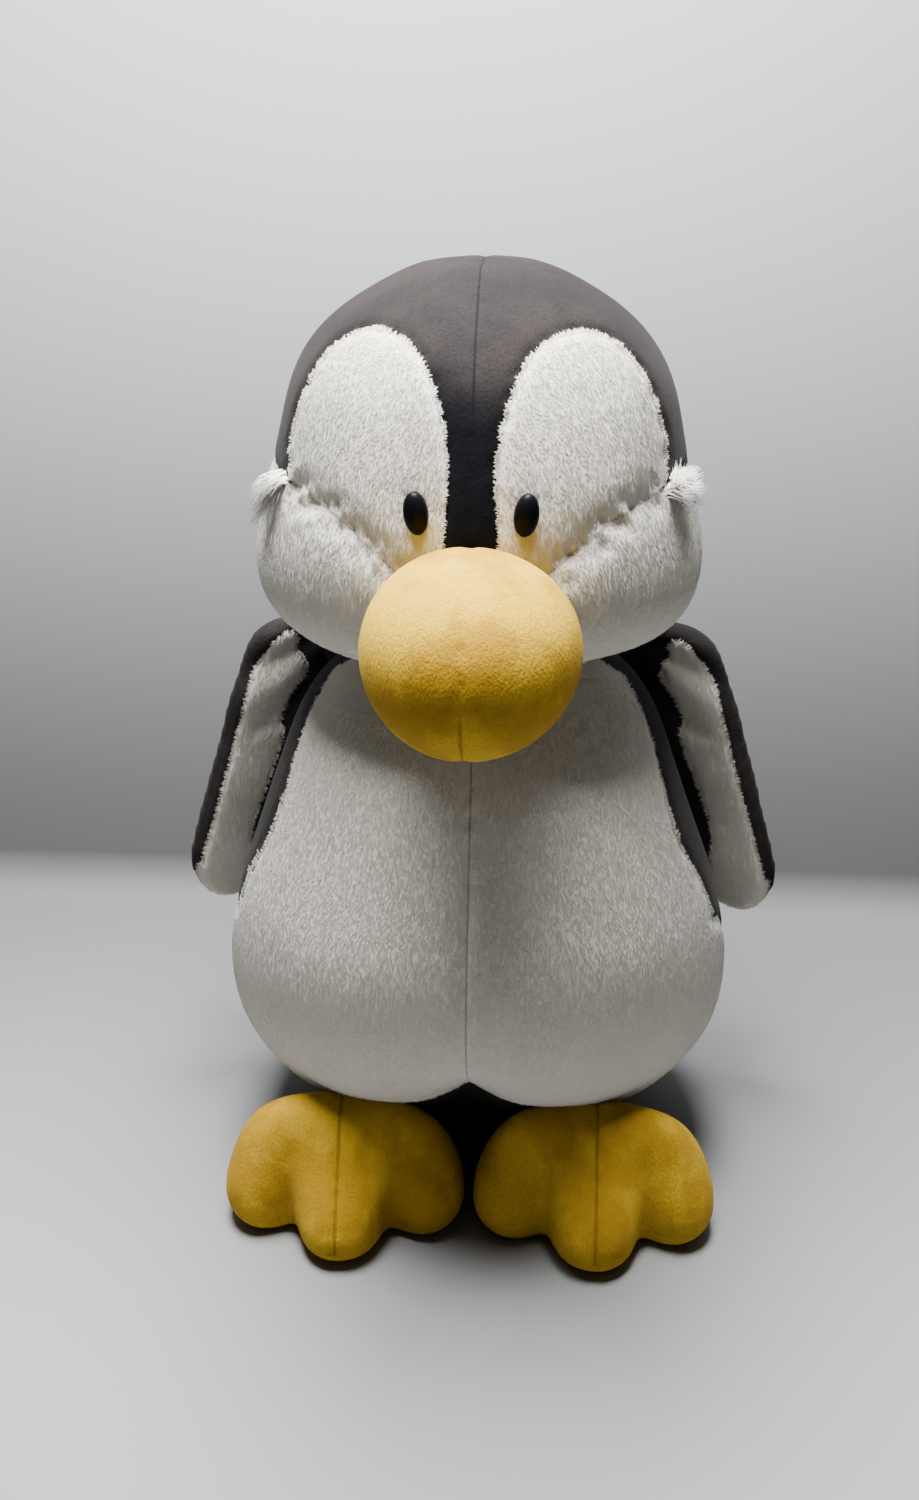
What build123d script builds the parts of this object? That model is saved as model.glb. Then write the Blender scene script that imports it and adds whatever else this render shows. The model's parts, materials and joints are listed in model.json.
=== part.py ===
"""Plush penguin, sitting upright on its seat with two three-toed feet in front.

Millimetres. The origin is on the floor in the middle of the seat, the toy looks along -Y,
+Z is up and +X is the toy's own left. Every panel of cloth is a solid of its own thickness
round the stuffing that fills it.
"""
from build123d import *
import math
import os

# Cloth, seams and the gaps that let one body move against the next
CLOTH = 2.5                     # plush with its pile pressed flat
CLEARANCE = 0.4                 # round every ball seam
FAR = 400.0                     # reach of the cutting shapes

# Level ellipses of the torso and of the head: height, half width, front, back
TORSO_LEVELS = [
    (0, 84, -5, 78),
    (15, 104, -18, 96),
    (40, 122, -38, 110),
    (70, 135, -70, 118),
    (100, 140, -102, 122),
    (130, 140, -120, 123),
    (165, 134, -125, 120),
    (200, 123, -117, 113),
    (235, 110, -105, 104),
    (268, 98, -92, 94),
    (290, 84, -74, 79),
    (304, 62, -52, 57),
    (309, 44, -36, 41),
]
HEAD_LEVELS = [
    (321, 56, -64, 54),
    (327, 88, -90, 74),
    (340, 105, -104, 84),
    (360, 111, -112, 94),
    (386, 107, -111, 100),
    (410, 101, -106, 103),
    (434, 96, -98, 99),
    (458, 86, -86, 88),
    (478, 66, -66, 68),
    (491, 44, -43, 46),
    (498, 12, -12, 14),
]

# Torso seams, seen from the front: half width of the white belly at each height
BELLY_EDGE = [(150, 155), (130, 165), (124, 181), (117, 197), (105, 222), (97, 250), (94, 268), (84, 300), (80, 330)]
BELLY_BACK = 14.0               # the lower belly reaches this far round each side
BELLY_SIDE = [(14, 20), (13, 60), (9, 100), (3, 130), (-6, 148), (-18, 160), (-34, 168)]    # its seam from the side
SEAT_FRONT_HEIGHT = 92.0        # the seat panel rises towards the feet
SEAT_BACK_HEIGHT = 26.0

# Pellet bag in the seat
PELLET_CENTRE = (0, 34, 24)
PELLET_RADII = (62, 40, 20)
BAG_CLOTH = 1.2
BAG_MOUTH_RADIUS = 8.0

# Blank care label in the middle seam at the back
LABEL_THICKNESS = 0.8
LABEL_LENGTH = 30.0
LABEL_WIDTH = 22.0
LABEL_HEIGHT = 62.0
LABEL_BACK = 118.0

# Head seams, seen from the front
HEAD_BACK_SEAM = 14.0           # the back of the head starts behind this
FACE_OUTLINE = [
    (11, 370), (11, 414), (12, 439), (17, 456), (26, 470), (41, 476),
    (58, 472), (73, 458), (83, 438), (87, 420), (86, 407),
]
CHEEK_SEAM = [(86, 407), (62, 400), (44, 388), (30, 378)]

# Beak, eyes and cheek tufts
BEAK_CENTRE = (0, -138, 357)
BEAK_RADII = (48, 54, 44)
EYE_PLACE = (23.5, -104.5, 407.5)
EYE_TURN = 0.15                 # each eye looks a little outwards
EYE_RADII = (4.7, 8.3)          # half width, half height
EYE_RIM = 1.4                   # straight edge, then the dome
EYE_BULGE = 2.6
EYE_SHANK_RADIUS = 2.2
EYE_SHANK_LENGTH = 12.0
WASHER_RADIUS = 8.0
WASHER_THICKNESS = 1.2
WASHER_DEPTH = 6.0              # behind the eye's back face, under the cloth
TUFT_CENTRE = (98, -48, 404)
TUFT_RADII = (13, 11, 10)

# Ball seams: neck, shoulders, ankles
NECK_CENTRE = (0, 0, 315)
NECK_RADIUS = 26.0
SHOULDER = (80, 66, 290)
SHOULDER_RADIUS = 17.0
ANKLE = (64, -50, 62)
ANKLE_RADIUS = 17.0

# Wing: outline in its own plane, root at the shoulder, tip downwards
WING_ACROSS = (0.894, -0.342, 0.290)
WING_FACING = (-0.325, -0.940, -0.106)
WING_THICKNESS = 17.0
WING_WRAP = 4.5                 # the outer panel wraps this far towards the inner face
WING_LEVELS = [                 # place through the thickness, how far the edge is pulled in there
    (-8.5, 9.0), (-6.0, 3.0), (0, 0), (6.0, 3.0), (8.5, 9.0),
]
WING_OUTLINE = [
    (0, 9), (21, 13), (41, 6), (51, -14), (53, -60), (52, -112), (50, -150),
    (42, -175), (24, -188), (8, -181), (1, -152), (-1, -100), (-2, -50), (-5, -8),
]

# Foot: half of the toe outline at its widest level, from the middle toe to the heel
FOOT_CENTRE = 68.0
TOE_OUTLINE = [
    (0, -128), (13, -124), (22, -112), (29, -98), (37, -102), (52, -103), (63, -93), (67, -74),
    (62, -50), (50, -28), (27, -15),
]
HEEL = (0, -12)
FOOT_LEVELS = [                 # height, width, toe end, heel end, how round the outline is
    (0, 0.88, -119, -22, 0.0),
    (8, 0.97, -126, -15, 0.0),
    (20, 1.00, -128, -18, 0.0),
    (36, 0.94, -120, -32, 0.2),
    (50, 0.84, -109, -50, 0.5),
    (62, 0.72, -101, -65, 0.8),
    (71, 0.55, -96, -73, 1.0),
    (76, 0.30, -91, -79, 1.0),
]
SOLE_SEAM_HEIGHT = 22.0


def soft_body(levels, inset=0.0):
    """A rounded closed body through level ellipses, pulled in by the inset on every side."""
    bottom, top = levels[0][0], levels[-1][0]
    with BuildPart() as body:
        for height, half_width, front, back in levels:
            level = min(max(height, bottom + inset), top - inset)
            if level != height and height not in (bottom, top):
                continue
            with BuildSketch(Plane.XY.offset(level)):
                with Locations((0, (front + back) / 2)):
                    Ellipse(half_width - inset, (back - front) / 2 - inset)
        loft()
    return body.part


def soft_ball(centre, radii):
    """A sphere stretched to three half sizes."""
    with BuildPart() as ball:
        Sphere(1)
        scale(by=radii)
    return ball.part.moved(Location(centre))


def round_ball(centre, radius):
    """A plain ball for a seam that bends every way."""
    with BuildPart() as ball:
        with Locations(centre):
            Sphere(radius)
    return ball.part


def front_prism(points, closing):
    """Everything straight behind and in front of an outline drawn in the front view."""
    with BuildPart() as prism:
        with BuildSketch(Plane.XZ.offset(-FAR / 2)):
            with BuildLine():
                Spline(*points)
                Polyline(points[-1], *closing, points[0])
            make_face()
        extrude(amount=FAR)
    return prism.part


def half_space(lower, upper):
    """A box given by two corners, for cutting."""
    with BuildPart() as box:
        with Locations([tuple((a + b) / 2 for a, b in zip(lower, upper))]):
            Box(*(b - a for a, b in zip(lower, upper)))
    return box.part


def winds_left(outline):
    """True if a closed outline runs anticlockwise."""
    following = outline[1:] + outline[:1]
    return sum(a[0] * b[1] - a[1] * b[0] for a, b in zip(outline, following)) > 0


def pulled_in(outline, distance):
    """The points of a closed outline moved inwards, square to the line through their neighbours."""
    moved = []
    for before, point, after in zip(outline[-1:] + outline[:-1], outline, outline[1:] + outline[:1]):
        run = Vector(after[0] - before[0], after[1] - before[1]).normalized()
        turn = distance if winds_left(outline) else -distance
        moved.append((point[0] - run.Y * turn, point[1] + run.X * turn))
    return moved


def save(piece, name):
    """Write one piece to its own file."""
    piece.label = name
    export_step(piece, f"parts/{name}.step")


def save_pair(piece, name):
    """Write a left piece and its mirror image on the right."""
    save(piece, f"left_{name}")
    save(mirror(piece, about=Plane.YZ), f"right_{name}")


os.makedirs("parts", exist_ok=True)

left_side = half_space((0, -FAR, -FAR), (FAR, FAR, 2 * FAR))
neck_socket = round_ball(NECK_CENTRE, NECK_RADIUS + CLEARANCE)
shoulder_socket = round_ball(SHOULDER, SHOULDER_RADIUS + CLEARANCE)
ankle_socket = round_ball(ANKLE, ANKLE_RADIUS + CLEARANCE)


# ---------------------------------------------------------------- torso

torso_outer = soft_body(TORSO_LEVELS)
torso_inner = soft_body(TORSO_LEVELS, CLOTH)
pellet_bag_outer = soft_ball(PELLET_CENTRE, PELLET_RADII)
pellet_bag_inner = soft_ball(PELLET_CENTRE, tuple(r - BAG_CLOTH for r in PELLET_RADII))

with BuildPart() as torso_skin:
    add(torso_outer)
    add(torso_inner, mode=Mode.SUBTRACT)
    add(neck_socket, mode=Mode.SUBTRACT)
    for socket in (shoulder_socket, ankle_socket):
        add(socket, mode=Mode.SUBTRACT)
        add(mirror(socket, about=Plane.YZ, mode=Mode.PRIVATE), mode=Mode.SUBTRACT)

with BuildPart() as seat_region:
    with BuildSketch(Plane.YZ.offset(-FAR / 2)):
        with BuildLine():
            Polyline(
                (-130, -FAR), (-130, SEAT_FRONT_HEIGHT), (130, SEAT_BACK_HEIGHT), (130, -FAR), close=True
            )
        make_face()
    extrude(amount=FAR)

belly_prism = front_prism(BELLY_EDGE, [(0, 330), (0, 10), (150, 10)])
with BuildPart() as belly_side_region:
    with BuildSketch(Plane.YZ):
        with BuildLine():
            Spline(*BELLY_SIDE)
            Polyline(
                BELLY_SIDE[-1], (BELLY_BACK, BELLY_SIDE[-1][1]), (BELLY_BACK, FAR), (-FAR, FAR), (-FAR, -FAR),
                (BELLY_BACK, -FAR), BELLY_SIDE[0],
            )
        make_face()
    extrude(amount=FAR)

with BuildPart() as left_belly_region:
    add(belly_prism)
    add(belly_side_region.part, mode=Mode.INTERSECT)
    add(seat_region.part, mode=Mode.SUBTRACT)

with BuildPart() as belly_panel:
    add(torso_skin.part)
    add(left_side, mode=Mode.INTERSECT)
    add(left_belly_region.part, mode=Mode.INTERSECT)
save_pair(belly_panel.part, "belly_panel")

with BuildPart() as back_panel:
    add(torso_skin.part)
    add(left_side, mode=Mode.INTERSECT)
    add(left_belly_region.part, mode=Mode.SUBTRACT)
    add(seat_region.part, mode=Mode.SUBTRACT)
save_pair(back_panel.part, "back_panel")

with BuildPart() as seat_panel:
    add(torso_skin.part)
    add(seat_region.part, mode=Mode.INTERSECT)
save(seat_panel.part, "seat_panel")

with BuildPart() as torso_stuffing:
    add(torso_inner)
    add(neck_socket, mode=Mode.SUBTRACT)
    for socket in (shoulder_socket, ankle_socket):
        add(socket, mode=Mode.SUBTRACT)
        add(mirror(socket, about=Plane.YZ, mode=Mode.PRIVATE), mode=Mode.SUBTRACT)
    add(pellet_bag_outer, mode=Mode.SUBTRACT)
    with BuildSketch(Plane.XY):             # the bag is slipped in from below, so its pocket is open
        with Locations((PELLET_CENTRE[0], PELLET_CENTRE[1])):
            Ellipse(PELLET_RADII[0], PELLET_RADII[1])
    extrude(amount=PELLET_CENTRE[2], mode=Mode.SUBTRACT)
save(torso_stuffing.part, "torso_stuffing")

with BuildPart() as pellet_bag:
    add(pellet_bag_outer)
    add(pellet_bag_inner, mode=Mode.SUBTRACT)
    with Locations((PELLET_CENTRE[0], PELLET_CENTRE[1], PELLET_CENTRE[2] + PELLET_RADII[2])):
        Cylinder(BAG_MOUTH_RADIUS, PELLET_RADII[2], mode=Mode.SUBTRACT)
save(pellet_bag.part, "pellet_bag")
save(pellet_bag_inner, "pellet_fill")

with BuildPart() as care_label:
    with Locations((0, LABEL_BACK, LABEL_HEIGHT)):
        Box(LABEL_THICKNESS, LABEL_LENGTH, LABEL_WIDTH)
    add(torso_outer, mode=Mode.SUBTRACT)
save(care_label.part, "care_label")


# ---------------------------------------------------------------- head

head_outer = soft_body(HEAD_LEVELS)
head_inner = soft_body(HEAD_LEVELS, CLOTH)
beak_outer = soft_ball(BEAK_CENTRE, BEAK_RADII)
beak_inner = soft_ball(BEAK_CENTRE, tuple(r - CLOTH for r in BEAK_RADII))

eye_plane = Plane(EYE_PLACE, x_dir=(1, EYE_TURN, 0), z_dir=(EYE_TURN, -1, 0))
with BuildPart() as eye:
    with BuildSketch(eye_plane):
        Ellipse(EYE_RADII[0], EYE_RADII[1])
    extrude(amount=EYE_RIM)
    with BuildSketch(eye_plane.offset(EYE_RIM)):
        Ellipse(EYE_RADII[0], EYE_RADII[1])
    with BuildSketch(eye_plane.offset(EYE_RIM + 0.6 * EYE_BULGE)):
        Ellipse(0.80 * EYE_RADII[0], 0.80 * EYE_RADII[1])
    with BuildSketch(eye_plane.offset(EYE_RIM + EYE_BULGE)):
        Ellipse(0.30 * EYE_RADII[0], 0.30 * EYE_RADII[1])
    loft()
    with BuildSketch(eye_plane):
        Circle(EYE_SHANK_RADIUS)
    extrude(amount=-EYE_SHANK_LENGTH)

with BuildPart() as eye_washer:
    with BuildSketch(eye_plane.offset(-WASHER_DEPTH)):
        Circle(WASHER_RADIUS)
        Circle(EYE_SHANK_RADIUS, mode=Mode.SUBTRACT)
    extrude(amount=-WASHER_THICKNESS)

with BuildPart() as washer_pocket:
    with BuildSketch(eye_plane.offset(-WASHER_DEPTH)):
        Circle(WASHER_RADIUS)
    extrude(amount=-WASHER_THICKNESS)

with BuildPart() as eyes_and_washers:
    add(eye.part)
    add(washer_pocket.part)
    mirror(about=Plane.YZ)

with BuildPart() as head_skin:
    add(head_outer)
    add(head_inner, mode=Mode.SUBTRACT)
    add(beak_outer, mode=Mode.SUBTRACT)
    add(neck_socket, mode=Mode.SUBTRACT)
    add(eyes_and_washers.part, mode=Mode.SUBTRACT)
    add(left_side, mode=Mode.INTERSECT)

face_prism = front_prism(FACE_OUTLINE, CHEEK_SEAM[1:])
with BuildPart() as face_region:
    add(face_prism)
    add(half_space((0, -FAR, -FAR), (FAR, HEAD_BACK_SEAM, 2 * FAR)), mode=Mode.INTERSECT)

with BuildPart() as cheek_region:
    with BuildSketch(Plane.XZ.offset(-HEAD_BACK_SEAM)):
        with BuildLine():
            Polyline(*CHEEK_SEAM, FACE_OUTLINE[0], (0, 370), (0, 300), (130, 300), (130, 412), close=True)
        make_face()
    extrude(amount=FAR)

with BuildPart() as face_patch:
    add(head_skin.part)
    add(face_region.part, mode=Mode.INTERSECT)
save_pair(face_patch.part, "face_patch")

with BuildPart() as cheek_panel:
    add(head_skin.part)
    add(cheek_region.part, mode=Mode.INTERSECT)
save_pair(cheek_panel.part, "cheek_panel")

with BuildPart() as crown_panel:
    add(head_skin.part)
    add(half_space((0, -FAR, -FAR), (FAR, HEAD_BACK_SEAM, 2 * FAR)), mode=Mode.INTERSECT)
    add(face_region.part, mode=Mode.SUBTRACT)
    add(cheek_region.part, mode=Mode.SUBTRACT)
save_pair(crown_panel.part, "crown_panel")

with BuildPart() as back_head_panel:
    add(head_skin.part)
    add(half_space((0, HEAD_BACK_SEAM, -FAR), (FAR, FAR, 2 * FAR)), mode=Mode.INTERSECT)
save_pair(back_head_panel.part, "back_head_panel")

with BuildPart() as head_stuffing:
    add(head_inner)
    add(beak_outer, mode=Mode.SUBTRACT)
    add(neck_socket, mode=Mode.SUBTRACT)
    add(eyes_and_washers.part, mode=Mode.SUBTRACT)
save(head_stuffing.part, "head_stuffing")

save_pair(eye.part, "eye")
save_pair(eye_washer.part, "eye_washer")

with BuildPart() as beak_half:
    add(beak_outer)
    add(beak_inner, mode=Mode.SUBTRACT)
    add(left_side, mode=Mode.INTERSECT)
save_pair(beak_half.part, "beak_half")
save(beak_inner, "beak_stuffing")

with BuildPart() as cheek_tuft:
    add(soft_ball(TUFT_CENTRE, TUFT_RADII))
    add(head_outer, mode=Mode.SUBTRACT)
save_pair(cheek_tuft.part, "cheek_tuft")


# ---------------------------------------------------------------- neck and shoulders

save(round_ball(NECK_CENTRE, NECK_RADIUS), "neck_stuffing")
save_pair(round_ball(SHOULDER, SHOULDER_RADIUS), "shoulder_gusset")


# ---------------------------------------------------------------- wings

wing_plane = Plane(SHOULDER, x_dir=WING_ACROSS, z_dir=WING_FACING)


def wing_pad(inset):
    """The padded wing, or its stuffing when it is pulled in by the cloth."""
    with BuildPart() as pad:
        for depth, pull in WING_LEVELS:
            with BuildSketch(wing_plane.offset(depth * (1 - 2 * inset / WING_THICKNESS))):
                with BuildLine():
                    Spline(*pulled_in(WING_OUTLINE, pull + inset), periodic=True)
                make_face()
        loft()
    return pad.part


wing_outer_shape = wing_pad(0)
wing_inner_shape = wing_pad(CLOTH)

with BuildPart() as wing_skin:
    add(wing_outer_shape)
    add(wing_inner_shape, mode=Mode.SUBTRACT)
    add(shoulder_socket, mode=Mode.SUBTRACT)

with BuildPart() as wing_inner_panel:
    add(wing_skin.part)
    split(bisect_by=wing_plane.offset(WING_WRAP), keep=Keep.TOP)
save_pair(wing_inner_panel.part, "wing_inner_panel")

with BuildPart() as wing_outer_panel:
    add(wing_skin.part)
    split(bisect_by=wing_plane.offset(WING_WRAP), keep=Keep.BOTTOM)
save_pair(wing_outer_panel.part, "wing_outer_panel")

with BuildPart() as wing_stuffing:
    add(wing_inner_shape)
    add(shoulder_socket, mode=Mode.SUBTRACT)
save_pair(wing_stuffing.part, "wing_stuffing")


# ---------------------------------------------------------------- feet


def foot_body(inset):
    """A three-toed foot lofted from its sole to the ankle."""
    outline = TOE_OUTLINE + [HEEL] + [(-x, y) for x, y in reversed(TOE_OUTLINE[1:])]
    middle = (TOE_OUTLINE[0][1] + HEEL[1]) / 2
    half_length = (HEEL[1] - TOE_OUTLINE[0][1]) / 2
    half_width = max(x for x, y in TOE_OUTLINE)
    top = FOOT_LEVELS[-1][0]
    with BuildPart() as foot:
        for height, width, toe_end, heel_end, roundness in FOOT_LEVELS:
            points = []
            for x, y in outline:
                across, along = x / half_width, (y - middle) / half_length
                reach = math.hypot(across, along)
                fullness = 1 - roundness + roundness / reach
                across, along = across * fullness * width * half_width, along * fullness
                points.append((
                    FOOT_CENTRE + across,
                    (toe_end + heel_end) / 2 + along * (heel_end - toe_end) / 2,
                ))
            with BuildSketch(Plane.XY.offset(min(max(height, inset), top - inset))):
                with BuildLine():
                    Spline(*pulled_in(points, inset), periodic=True)
                make_face()
        loft()
    return foot.part


foot_outer = foot_body(0)
foot_inner = foot_body(CLOTH)
ankle_ball = round_ball(ANKLE, ANKLE_RADIUS)

with BuildPart() as foot_skin:
    add(foot_outer)
    add(foot_inner, mode=Mode.SUBTRACT)
    add(ankle_ball, mode=Mode.SUBTRACT)

with BuildPart() as foot_sole:
    add(foot_skin.part)
    split(bisect_by=Plane.XY.offset(SOLE_SEAM_HEIGHT), keep=Keep.BOTTOM)
save_pair(foot_sole.part, "foot_sole")

with BuildPart() as foot_upper:
    add(foot_skin.part)
    split(bisect_by=Plane.XY.offset(SOLE_SEAM_HEIGHT), keep=Keep.TOP)

with BuildPart() as foot_upper_outside:
    add(foot_upper.part)
    split(bisect_by=Plane.YZ.offset(FOOT_CENTRE), keep=Keep.TOP)
save_pair(foot_upper_outside.part, "foot_upper_outside")

with BuildPart() as foot_upper_inside:
    add(foot_upper.part)
    split(bisect_by=Plane.YZ.offset(FOOT_CENTRE), keep=Keep.BOTTOM)
save_pair(foot_upper_inside.part, "foot_upper_inside")

with BuildPart() as foot_stuffing:
    add(foot_inner)
    add(ankle_ball)
save_pair(foot_stuffing.part, "foot_stuffing")
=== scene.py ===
"""Looks of the plush penguin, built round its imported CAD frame.

Metres. Each stuffed part starts from its CAD stuffing, is inflated as cloth with its seams held,
and is then cut along the CAD panels' seams, so every visible panel stands for its own CAD node.
"""

import json
import math

import bmesh
import bpy
import numpy as np
from mathutils import Matrix, Vector
from mathutils.bvhtree import BVHTree


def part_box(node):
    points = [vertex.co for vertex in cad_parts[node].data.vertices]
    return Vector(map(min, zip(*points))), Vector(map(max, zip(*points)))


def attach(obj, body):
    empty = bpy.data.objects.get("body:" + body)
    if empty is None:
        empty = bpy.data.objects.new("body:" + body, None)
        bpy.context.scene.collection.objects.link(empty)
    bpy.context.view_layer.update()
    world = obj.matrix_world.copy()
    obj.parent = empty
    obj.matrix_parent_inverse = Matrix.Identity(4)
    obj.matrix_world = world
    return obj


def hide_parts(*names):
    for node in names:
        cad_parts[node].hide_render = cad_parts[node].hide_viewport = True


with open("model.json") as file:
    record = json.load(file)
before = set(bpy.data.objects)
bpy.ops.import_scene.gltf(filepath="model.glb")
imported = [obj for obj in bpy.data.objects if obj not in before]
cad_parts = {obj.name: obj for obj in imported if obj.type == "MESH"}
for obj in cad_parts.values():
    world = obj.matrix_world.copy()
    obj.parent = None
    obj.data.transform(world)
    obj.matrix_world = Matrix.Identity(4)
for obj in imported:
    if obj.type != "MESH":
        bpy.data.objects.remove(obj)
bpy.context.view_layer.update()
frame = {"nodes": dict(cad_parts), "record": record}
NODES = frame["nodes"]
SLOTS = {entry["node"]: entry["material_slot"] for entry in frame["record"]["subparts"]}
SIDES = (("left", 1), ("right", -1))

MM = 0.001
ROOM_TONE = 0.45                # brightness of the room seen past the paper
ROOM_COLOUR = (0.97, 0.98, 1.0, 1)
# Painted shade: the paper is darker where floor and backdrop meet.
PAPER_JOIN_SHADE = (0.150, 0.152, 0.153)      # the paper where floor and backdrop meet
PILE_SPACING = 0.85 * MM        # between the roots of the white pile
PILE_LENGTH = 1.8 * MM
SEAM = (1.4 * MM, 3.2 * MM)     # depth and half width of the groove
FLAT_SEAM = (0.6 * MM, 2.2 * MM)
BEAK_SEAM = (0.9 * MM, 2.6 * MM)
FOOT_SEAM = (0.9 * MM, 2.4 * MM)
HEAD_SEAMS = {
    ("face_patch", "cheek_panel"): (3.0 * MM, 8.5 * MM),
    ("crown_panel", "crown_panel"): FLAT_SEAM,
    ("crown_panel", "back_head_panel"): FLAT_SEAM,
    ("back_head_panel", "back_head_panel"): FLAT_SEAM,
    ("cheek_panel", "cheek_panel"): FLAT_SEAM,
    ("cheek_panel", "back_head_panel"): FLAT_SEAM,
}
CLOTH_FRAMES = 20               # length of each inflation
CLOTH_PRESSURE = 4.0


# ---------------------------------------------------------------- measuring the frame

def place(*nodes):
    """Lowest and highest corner of some CAD nodes together."""
    corners = [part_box(node) for node in nodes]
    low = np.min([c[0] for c in corners], axis=0)
    high = np.max([c[1] for c in corners], axis=0)
    return low, high


def middle_of(node):
    """Middle of one CAD node's box."""
    low, high = place(node)
    return (low + high) / 2


def arrays_of(mesh):
    """Vertices and triangles of a mesh."""
    mesh.calc_loop_triangles()
    verts = np.empty(len(mesh.vertices) * 3)
    mesh.vertices.foreach_get("co", verts)
    tris = np.empty(len(mesh.loop_triangles) * 3, dtype=np.int32)
    mesh.loop_triangles.foreach_get("vertices", tris)
    return verts.reshape(-1, 3), tris.reshape(-1, 3)


def search_tree(mesh):
    """A mesh as a tree that finds its nearest point."""
    verts, tris = arrays_of(mesh)
    return BVHTree.FromPolygons(verts.tolist(), tris.tolist())


def panel_distances(verts, panels):
    """Distance from each vertex to each of the CAD panels."""
    columns = []
    for panel in panels:
        tree = search_tree(NODES[panel].data)
        columns.append([tree.find_nearest(v)[3] for v in verts.tolist()])
    return np.array(columns).T


def nearest_seam(distances, panels, seams):
    """How far each vertex is from its nearest seam, and that seam's depth and half width."""
    order = np.argsort(distances, axis=1)
    ordered = np.take_along_axis(distances, order, axis=1)
    away = np.sqrt(np.maximum(ordered[:, 1] ** 2 - ordered[:, 0] ** 2, 0))
    kinds = np.array([panel.removeprefix("left_").removeprefix("right_") for panel in panels])
    first, second = kinds[order[:, 0]], kinds[order[:, 1]]
    depth = np.full(len(distances), SEAM[0])
    width = np.full(len(distances), SEAM[1])
    for (one, other), (seam_depth, seam_width) in seams.items():
        here = ((first == one) & (second == other)) | ((first == other) & (second == one))
        depth[here], width[here] = seam_depth, seam_width
    return away, depth, width


# ---------------------------------------------------------------- meshes

def linked(name, mesh):
    """Put a mesh in the scene as a piece."""
    piece = bpy.data.objects.new(name, mesh)
    bpy.context.scene.collection.objects.link(piece)
    return piece


def new_object(name, verts, faces, material):
    """A smooth mesh object from lists of vertices and faces."""
    mesh = bpy.data.meshes.new(name)
    mesh.from_pydata(np.asarray(verts).tolist(), [], np.asarray(faces).tolist())
    mesh.validate()
    mesh.shade_smooth()
    mesh.materials.append(material)
    return linked(name, mesh)


def applied(piece):
    """Replace a piece's mesh by its modified one and drop the modifiers."""
    graph = bpy.context.evaluated_depsgraph_get()
    mesh = bpy.data.meshes.new_from_object(piece.evaluated_get(graph))
    piece.modifiers.clear()
    piece.data = mesh
    return piece


def remeshed(piece, voxel):
    """Even out a closed mesh and relax it."""
    even = piece.modifiers.new("Even", "REMESH")
    even.mode = "VOXEL"
    even.voxel_size = voxel
    relax = piece.modifiers.new("Relax", "SMOOTH")
    relax.factor = 0.5
    relax.iterations = 6
    return applied(piece)


def hull_piece(name, nodes, voxel):
    """The convex outside of some CAD nodes as an even closed mesh."""
    shape = bmesh.new()
    for node in nodes:
        shape.from_mesh(NODES[node].data)
    made = bmesh.ops.convex_hull(shape, input=shape.verts)
    inner = [v for v in made["geom_interior"] + made["geom_unused"] if isinstance(v, bmesh.types.BMVert)]
    bmesh.ops.delete(shape, geom=inner, context="VERTS")
    outside = {f for f in made["geom"] if isinstance(f, bmesh.types.BMFace)}
    bmesh.ops.delete(shape, geom=[f for f in shape.faces if f not in outside], context="FACES")
    mesh = bpy.data.meshes.new(name)
    shape.to_mesh(mesh)
    shape.free()
    return remeshed(linked(name, mesh), voxel)


def copy_piece(name, node, voxel):
    """One closed CAD node as an even closed mesh."""
    return remeshed(linked(name, NODES[node].data.copy()), voxel)


def coords(piece):
    """Vertex positions of a piece."""
    out = np.empty(len(piece.data.vertices) * 3)
    piece.data.vertices.foreach_get("co", out)
    return out.reshape(-1, 3)


def normals(piece):
    """Vertex normals of a piece."""
    out = np.empty(len(piece.data.vertices) * 3, dtype=np.float32)
    piece.data.vertex_normals.foreach_get("vector", out)
    return out.reshape(-1, 3).astype(float)


def set_coords(piece, verts):
    """Move every vertex of a piece."""
    piece.data.vertices.foreach_set("co", np.asarray(verts, dtype=float).ravel())
    piece.data.update()


def push(piece, amount):
    """Move a part's surface along its normals."""
    amount = np.broadcast_to(amount, len(piece.data.vertices))
    set_coords(piece, coords(piece) + normals(piece) * amount[:, None])


def near(values, centre, width):
    """A smooth bump of height one round a centre."""
    return np.exp(-((values - centre) / width) ** 2)


def ramp(values, low, high):
    """Smoothly from 0 at low to 1 at high."""
    t = np.clip((values - low) / (high - low), 0, 1)
    return t * t * (3 - 2 * t)


def lumps(verts, size, seed):
    """Soft random unevenness between about -1 and 1, made of a few plane waves."""
    rng = np.random.default_rng(seed)
    total = np.zeros(len(verts))
    for _ in range(9):
        direction = rng.normal(size=3)
        direction /= np.linalg.norm(direction)
        phase = rng.uniform(0, 2 * math.pi)
        length = size * rng.uniform(0.7, 1.6)
        total += np.sin(verts @ direction * 2 * math.pi / length + phase)
    return total / 4


def unit(vectors):
    """Each row scaled to length one."""
    return vectors / np.maximum(np.linalg.norm(vectors, axis=-1, keepdims=True), 1e-12)


# ---------------------------------------------------------------- padded cloth

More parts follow.
